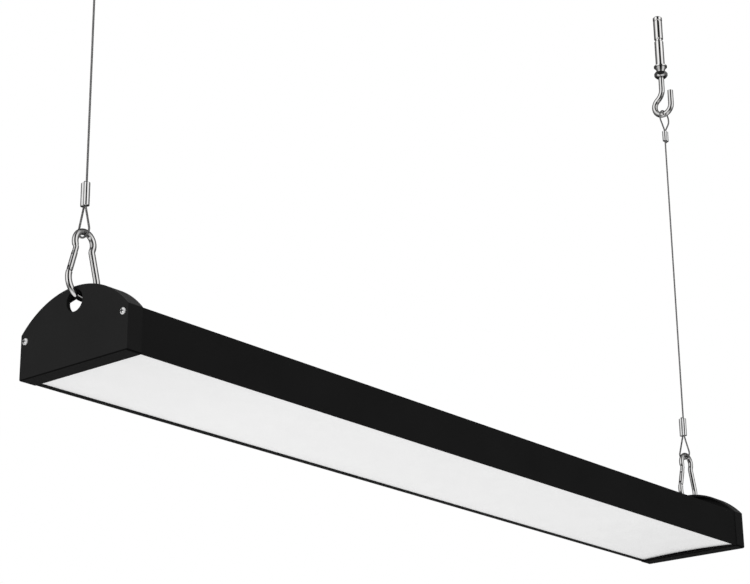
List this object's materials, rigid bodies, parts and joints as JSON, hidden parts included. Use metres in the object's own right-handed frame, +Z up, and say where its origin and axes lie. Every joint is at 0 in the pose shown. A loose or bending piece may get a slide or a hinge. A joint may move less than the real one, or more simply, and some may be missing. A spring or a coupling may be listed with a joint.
{
  "type": "hanging shop light",
  "caption": "Long linear shop light: black channel, opal diffuser and arched end caps, hung by snap hooks and wire ropes from ceiling hook bolts in sleeve anchors.",
  "frame": {"origin": "on the ceiling plane, which the washers bear against, midway between the axes of the two ceiling anchors", "axes": "+X along the light, towards its right-hand, inlet end; +Y across it, away from the wall that the picture shows; +Z up, into the ceiling"},
  "size_m": [1.226, 0.16, 0.8629],
  "materials": {
    "black_coat": "matt black powder coat on an extrusion",
    "cap_coat": "satin dark grey powder coat on a casting",
    "opal": "opal diffusing plastic, lit from inside",
    "white_coat": "gloss white coat on folded sheet",
    "white_board": "white solder mask with yellow chips",
    "zinc_sheet": "zinc plated sheet steel",
    "green_board": "green solder mask with parts",
    "block_plastic": "cream moulded plastic",
    "supply_sleeve": "insulated leads",
    "led_sleeve": "insulated leads",
    "grommet_rubber": "black rubber",
    "screw_steel": "zinc plated steel",
    "bright_steel": "bright nickel plated steel",
    "wire_steel": "stranded steel wire",
    "ferrule_metal": "pressed bright ferrule",
    "anchor_steel": "bright zinc plated steel",
    "spring_steel": "spring steel"
  },
  "bodies": {
    "ceiling_anchors": {"left_hook_bolt": "bright_steel", "left_hex_nut": "bright_steel", "left_collar": "anchor_steel", "left_washer": "anchor_steel", "left_sleeve": "anchor_steel", "left_cone_nut": "anchor_steel", "right_hook_bolt": "bright_steel", "right_hex_nut": "bright_steel", "right_collar": "anchor_steel", "right_washer": "anchor_steel", "right_sleeve": "anchor_steel", "right_cone_nut": "anchor_steel"},
    "wire_left": {"left_wire": "wire_steel", "left_upper_ferrule": "ferrule_metal", "left_lower_ferrule": "ferrule_metal"},
    "carabiner_left": {"left_snap_body": "bright_steel", "left_gate_pin": "bright_steel"},
    "gate_left": {"left_snap_gate": "bright_steel", "left_gate_spring": "spring_steel", "left_gate_plunger": "screw_steel"},
    "wire_right": {"right_wire": "wire_steel", "right_upper_ferrule": "ferrule_metal", "right_lower_ferrule": "ferrule_metal"},
    "carabiner_right": {"right_snap_body": "bright_steel", "right_gate_pin": "bright_steel"},
    "gate_right": {"right_snap_gate": "bright_steel", "right_gate_spring": "spring_steel", "right_gate_plunger": "screw_steel"},
    "light": {"housing": "black_coat", "left_end_cap": "cap_coat", "right_end_cap": "cap_coat", "diffuser": "opal", "gear_tray": "white_coat", "led_board_1": "white_board", "led_board_2": "white_board", "led_board_3": "white_board", "led_board_4": "white_board", "led_board_screws": "screw_steel", "driver_base": "zinc_sheet", "driver_cover": "zinc_sheet", "driver_board": "green_board", "driver_screws": "screw_steel", "terminal_block": "block_plastic", "supply_leads": "supply_sleeve", "led_leads": "led_sleeve", "inlet_grommet": "grommet_rubber", "left_cap_screws": "screw_steel", "right_cap_screws": "screw_steel"}
  },
  "joints": [
    {"name": "wire_left_swing", "type": "hinge", "parent": "ceiling_anchors", "child": "wire_left", "pos_m": [-0.59, 0, -0.0826], "axis": [0, 1, 0], "range_deg": [-12, 12]},
    {"name": "carabiner_left_swing", "type": "hinge", "parent": "wire_left", "child": "carabiner_left", "pos_m": [-0.59, 0, -0.62917], "axis": [0, 1, 0], "range_deg": [-12, 12]},
    {"name": "gate_left_open", "type": "hinge", "parent": "carabiner_left", "child": "gate_left", "pos_m": [-0.60809, 0, -0.67494], "axis": [0, 1, 0], "range_deg": [0, 25], "stiffness_Nm_per_rad": 0.1, "springref_deg": -28.65},
    {"name": "wire_right_swing", "type": "hinge", "parent": "ceiling_anchors", "child": "wire_right", "pos_m": [0.59, 0, -0.0826], "axis": [0, 1, 0], "range_deg": [-12, 12]},
    {"name": "carabiner_right_swing", "type": "hinge", "parent": "wire_right", "child": "carabiner_right", "pos_m": [0.59, 0, -0.62917], "axis": [0, 1, 0], "range_deg": [-12, 12]},
    {"name": "gate_right_open", "type": "hinge", "parent": "carabiner_right", "child": "gate_right", "pos_m": [0.57191, 0, -0.67494], "axis": [0, 1, 0], "range_deg": [0, 25], "stiffness_Nm_per_rad": 0.1, "springref_deg": -28.65},
    {"name": "light_rock", "type": "hinge", "parent": "carabiner_left", "child": "light", "pos_m": [-0.59, 0, -0.70067], "axis": [1, 0, 0], "range_deg": [-15, 15]}
  ],
  "couplings": [
    {"joint": "carabiner_left_swing", "follows": "wire_left_swing", "ratio": -1},
    {"joint": "wire_right_swing", "follows": "wire_left_swing", "ratio": 1},
    {"joint": "carabiner_right_swing", "follows": "wire_left_swing", "ratio": -1}
  ]
}
